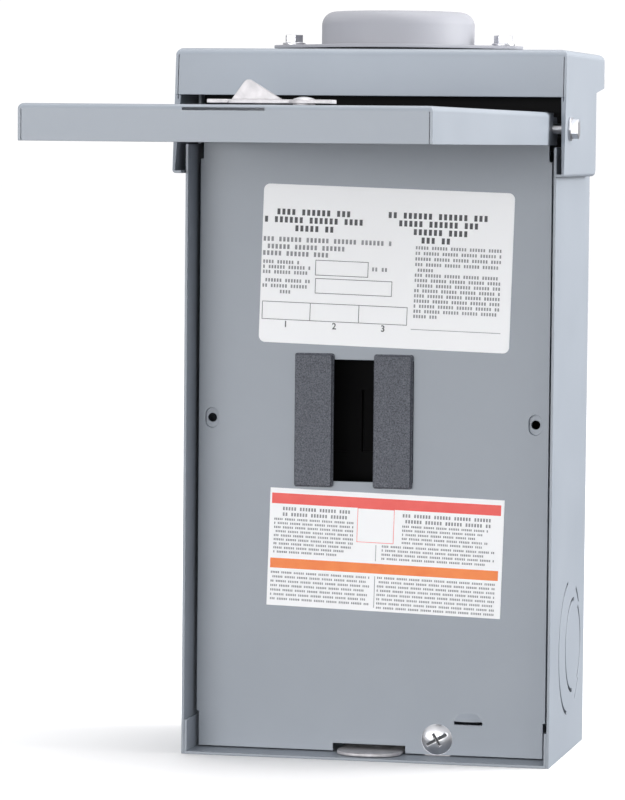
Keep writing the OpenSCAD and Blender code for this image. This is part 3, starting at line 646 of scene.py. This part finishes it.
# %% Door skin
DOOR_SHEET = 1.2
DOOR_BEND = 2.2
TUCK_INSET = 3
EAR_ROUND = 2.4
door_low, door_high = corners("door")
PANEL_Z = door_high.z
EAR_Y = 19.0
door_outline = [
    (door_low.y, PANEL_Z),
    (door_low.y, door_low.z),
    (PIVOT_Y, door_low.z),
    (PIVOT_Y, PANEL_Z),
]
door_mesh = block(door_outline, door_high.x)
drop(door_mesh, [f for f in door_mesh.faces if f.normal.z < -0.5 or f.normal.y > 0.5])
folds = [e for e in door_mesh.edges if e.is_manifold]
panel_folds = [e for e in folds if all(abs(place(v.co).z - PANEL_Z) < 0.1 for v in e.verts)]
round_folds(door_mesh, panel_folds, DOOR_BEND)
rear = [e for e in door_mesh.edges if all(abs(place(v.co).y - PIVOT_Y) < 0.05 for v in e.verts)]
panel_rear = [e for e in rear if all(abs(place(v.co).z - PANEL_Z) < 0.05 for v in e.verts)]
ear_rear = [e for e in rear if all(abs(abs(place(v.co).x) - door_high.x) < 0.05 for v in e.verts)]
strip = grow(door_mesh, panel_rear, (0, door_high.y - PIVOT_Y, 0))
for point in strip:
    point.co.x = math.copysign((door_high.x - TUCK_INSET) * MM, point.co.x)
for edge in ear_rear:
    grow(door_mesh, [edge], (0, EAR_Y - PIVOT_Y, 0))
ear_tops = [v for v in door_mesh.verts if abs(place(v.co).y - EAR_Y) < 0.05 and place(v.co).z > PIVOT_Z]
bmesh.ops.bevel(door_mesh, geom=ear_tops, offset=EAR_ROUND * MM, segments=5, profile=0.5,
                affect="VERTICES", material=-1, clamp_overlap=False)
bmesh.ops.recalc_face_normals(door_mesh, faces=door_mesh.faces)
print("panel folds:", len(panel_folds), "ears:", len(ear_rear))

# %% [markdown]
# The slot in the near flange is where the tongue comes through when the door is closed. It is cut
# with the rivet's hole and the hinge holes, and two thin slabs open the near corners.

# %% Door slot, rivet hole, hinge holes and corner seams
SLOT_HALF = 17
SLOT_HEIGHT = 1.2
RIVET_HOLE = 5.1
DOOR_THROUGH = 10
DOOR_SEAM = 0.3
door = make("folded_door", door_mesh, enamel)
thicken(door, DOOR_SHEET)
rivet_low, rivet_high = corners("latch_rivet")
door_cutter = bmesh.new()
slot_top = PANEL_Z - DOOR_SHEET
slab(door_cutter, at(-SLOT_HALF, door_low.y - 2, slot_top - SLOT_HEIGHT),
     at(SLOT_HALF, door_low.y + 2.6, slot_top))
rivet_middle = (rivet_low + rivet_high) / 2
rod(door_cutter, False, at(rivet_middle.x, rivet_middle.y, PANEL_Z), RIVET_HOLE, DOOR_THROUGH)
for side in (-1, 1):
    rod(door_cutter, True, at(side * door_high.x, PIVOT_Y, PIVOT_Z), HINGE_HOLE, DOOR_THROUGH)
    inner = side * (door_high.x - DOOR_SHEET)
    seam = sorted((inner, inner - side * DOOR_SEAM))
    slab(door_cutter, at(seam[0], door_low.y - 1, door_low.z - 1),
         at(seam[1], door_low.y + DOOR_SHEET + 0.5, PANEL_Z - DOOR_BEND - 0.1))
cut(door, door_cutter)
hand_over(door, "door", "paint", "door")

# %% [markdown]
# ## Gate marks on the filler plates
#
# A filler plate is moulded, and the plastic enters through one small gate in the middle of its face.
# Where it was snapped off a low round mark is left. Two short cones, a little proud of each face, are
# enough, and they share one piece.

# %% Two low round marks
MARK_DIAMETER = 2.4
MARK_PROUD = 0.3
marks_mesh = bmesh.new()
for name in ("filler_plate_left", "filler_plate_right"):
    plate_low, plate_high = corners(name)
    middle = at((plate_low.x + plate_high.x) / 2, plate_low.y, (plate_low.z + plate_high.z) / 2)
    bmesh.ops.create_cone(marks_mesh, cap_ends=True, segments=32, radius1=MARK_DIAMETER / 2 * MM,
                          radius2=MARK_DIAMETER / 2.6 * MM, depth=2 * MARK_PROUD * MM,
                          matrix=Matrix.Translation(middle) @ Matrix.Rotation(math.radians(90), 4, "X"))
print("mark diameter in mm:", MARK_DIAMETER)
hand_over(settle(make("filler_gate_marks", marks_mesh, filler_plastic), 30), "enclosure", "filler")

# %% [markdown]
# ## Print on the labels
#
# The labels carry blocks of print, boxes to fill in and two colour bands. Here every line of print is
# a row of plain blocks that spell nothing, and only the space numbers 1, 2 and 3 are real figures. A
# mark is a thin closed plate lying on the film, so it holds up from any side.

# %% Marks in a label's own millimetres
LABEL_TILT = math.radians(1.6)
INK_LIFT = 0.02
INK_THICKNESS = 0.03


class Print:
    """Collects marks given in millimetres right and up from a label's centre."""

    def __init__(self, label):
        label_low, label_high = corners(label)
        self.centre = (label_low + label_high) / 2
        self.front = label_low.y - INK_LIFT
        self.mesh = bmesh.new()

    def point(self, u, v):
        """Where a label point lies in the shared frame."""
        x = self.centre.x + u * math.cos(LABEL_TILT) + v * math.sin(LABEL_TILT)
        z = self.centre.z - u * math.sin(LABEL_TILT) + v * math.cos(LABEL_TILT)
        return at(x, self.front, z)

    def mark(self, u0, v0, u1, v1):
        """A filled rectangle."""
        ring = [(u0, v0), (u1, v0), (u1, v1), (u0, v1)]
        self.mesh.faces.new([self.mesh.verts.new(self.point(u, v)) for u, v in ring])

    def frame(self, u0, v0, u1, v1, line):
        """A drawn rectangle of thin lines."""
        self.mark(u0, v0, u1, v0 + line)
        self.mark(u0, v1 - line, u1, v1)
        self.mark(u0, v0 + line, u0 + line, v1 - line)
        self.mark(u1 - line, v0 + line, u1, v1 - line)

    def row(self, u0, u1, v, height, phase):
        """A row of plain blocks with wider gaps every few blocks."""
        step = height * 0.86
        count = int((u1 - u0) / step)
        for k in range(count):
            if (k + phase) % 7 != 5:
                start = u0 + k * step
                self.mark(start, v - height / 2, start + step * 0.6, v + height / 2)

    def lay_down(self, name, ink):
        """Thicken the marks into one piece."""
        count = len(self.mesh.faces)
        bmesh.ops.recalc_face_normals(self.mesh, faces=self.mesh.faces)
        piece = make(name, self.mesh, ink)
        plate = piece.modifiers.new("plate", "SOLIDIFY")
        plate.thickness = INK_THICKNESS * MM
        plate.offset = 0
        settle(piece)
        print(name, "has", count, "marks")
        hand_over(piece, "enclosure", "label")


print("label tilt", round(math.degrees(LABEL_TILT), 2))

# %% [markdown]
# The upper label has a heading in two columns, a few boxes and small print. Heading and small print
# are two pieces, since they differ in ink. Each line is one call with its two ends and its height.

# %% Upper label
heading = Print("upper_label")
heading.row(-53.3, -14.8, 24.5, 2.8, 1)
heading.row(-59.2, -8.8, 20.8, 2.8, 4)
heading.row(-44.3, -25.0, 16.9, 2.8, 0)
heading.row(0.4, 50.1, 25.0, 2.8, 3)
heading.row(5.6, 44.9, 21.3, 2.8, 0)
heading.row(10.3, 40.4, 17.5, 2.8, 5)
heading.row(16.6, 32.5, 13.7, 2.8, 2)
heading.frame(-59.1, -26.6, 11.1, -18.0, 0.3)
heading.mark(-35.9, -26.6, -35.6, -18.0)
heading.mark(-12.4, -26.6, -12.1, -18.0)
heading.frame(-34.0, -4.9, -8.4, 2.4, 0.3)
heading.frame(-33.8, -13.4, 3.3, -6.2, 0.3)
heading.lay_down("upper_label_heading", dark_ink)

small = Print("upper_label")
small.row(-59.5, 4.3, 11.5, 2.2, 2)
small.row(-59.3, -18.6, 8.0, 2.2, 5)
small.row(-59.5, -25.6, 4.8, 2.2, 0)
for line_end, line_v, phase in ((-40.4, 0.7, 1), (-35.2, -1.7, 4), (-37.2, -4.1, 2),
                                (-35.9, -8.0, 5), (-35.0, -10.6, 3)):
    small.row(-59.3, line_end, line_v, 1.6, phase)
small.row(-50.7, -44.2, -13.3, 1.6, 0)
small.row(-6.6, 2.5, -0.9, 1.8, 3)
for line in range(5):
    small.row(14.0, 56.4 if line < 4 else 25.0, 10.2 - 2.62 * line, 1.5, line * 3)
for line in range(9):
    small.row(14.0, 56.0 if line < 8 else 26.5, -2.7 - 2.42 * line, 1.5, line * 5 + 2)
small.mark(13.0, -28.4, 55.8, -28.1)
small.lay_down("upper_label_small_print", pale_ink)

# %% [markdown]
# The spaces are numbered on the label, in the order of the breakers. A figure starts as a text curve
# with a little thickness, is made a mesh, and only then moved to its place on the tilted film.

# %% Space numbers
def figure(text, u, v, height, label, ink):
    """A plain figure lying on a label."""
    curve = bpy.data.curves.new("figure", "FONT")
    curve.body = text
    curve.size = height * 1.4 * MM
    curve.align_x = "CENTER"
    curve.align_y = "CENTER"
    curve.extrude = INK_THICKNESS / 2 * MM
    curve.offset = 0.08 * MM
    maker = bpy.data.objects.new("figure", curve)
    bpy.context.scene.collection.objects.link(maker)
    graph = bpy.context.evaluated_depsgraph_get()
    mesh = bpy.data.meshes.new_from_object(maker.evaluated_get(graph))
    bpy.data.objects.remove(maker)
    stand = Matrix.Rotation(LABEL_TILT, 4, "Y") @ Matrix.Rotation(math.radians(90), 4, "X")
    mesh.transform(Matrix.Translation(Print(label).point(u, v)) @ stand)
    mesh.materials.clear()
    mesh.materials.append(ink)
    piece = bpy.data.objects.new("space_number_" + text, mesh)
    bpy.context.scene.collection.objects.link(piece)
    hand_over(piece, "enclosure", "label")


for number, u in (("1", -47.4), ("2", -23.9), ("3", -0.4)):
    figure(number, u, -28.7, 3.0, "upper_label", dark_ink)

# %% [markdown]
# The lower label is cut square, so its film is one mark with the film's own thickness. A red and an
# orange band head its two halves, and an empty frame stands where a picture would be.

# %% Lower label
film_sheet = Print("lower_label")
film_low, film_high = corners("lower_label")
film_sheet.front = (film_low.y + film_high.y) / 2
FILM_HALF_WIDTH = 56.4
FILM_HALF_HEIGHT = 28
film_sheet.mark(-FILM_HALF_WIDTH, -FILM_HALF_HEIGHT, FILM_HALF_WIDTH, FILM_HALF_HEIGHT)
sheet_piece = make("lower_label_film", film_sheet.mesh, film)
sheet_plate = sheet_piece.modifiers.new("plate", "SOLIDIFY")
sheet_plate.thickness = (film_high.y - film_low.y) * MM
sheet_plate.offset = 0
settle(sheet_piece)
hand_over(sheet_piece, "enclosure", "label", "lower_label")

red = Print("lower_label")
red.mark(-55.5, 20.6, 54.9, 25.6)
red.frame(-13.8, 4.4, 4.0, 20.6, 0.25)
red.lay_down("lower_label_red_band", red_ink)

orange = Print("lower_label")
orange.mark(-55.3, -10.1, 54.6, -5.4)
orange.lay_down("lower_label_orange_band", orange_ink)

fine_print = Print("lower_label")
fine_print.mark(-4.5, -4.2, -4.2, 3.4)
fine_print.mark(-4.5, -26.3, -4.2, -11.4)
for line in range(2):
    fine_print.row(-50.0, -16.0, 18.3 - 2.7 * line, 1.6, line * 3)
    fine_print.row(8.0, 52.0, 18.1 - 2.7 * line, 1.6, line * 3 + 2)
for line in range(9):
    fine_print.row(-54.0, -15.0 if line < 6 else -16.0 - 3 * (line % 3), 13.2 - 1.95 * line, 1.0, line * 4)
for line in range(5):
    fine_print.row(8.0, 50.0 - 3 * (line % 3), 13.0 - 1.95 * line, 1.0, line * 5 + 1)
for line in range(4):
    fine_print.row(-1.5, 53.0 - 4 * (line % 2), 3.0 - 1.95 * line, 1.0, line * 3 + 1)
for line in range(7):
    fine_print.row(-54.8, -6.5 - 1.5 * (line % 2), -12.2 - 2.1 * line, 1.0, line * 5)
for line in range(8):
    fine_print.row(-3.2, 53.8, -12.0 - 2.03 * line, 1.0, line * 3 + 2)
fine_print.lay_down("lower_label_fine_print", pale_ink)

# %% [markdown]
# ## Write down the solid model's box
#
# The visual model has to stay inside the solid model's box, so that box is written down at the
# end.

# %% Write down the solid box
print("solid box:", [[round(v, 4) for v in corner] for corner in solid_bounds])
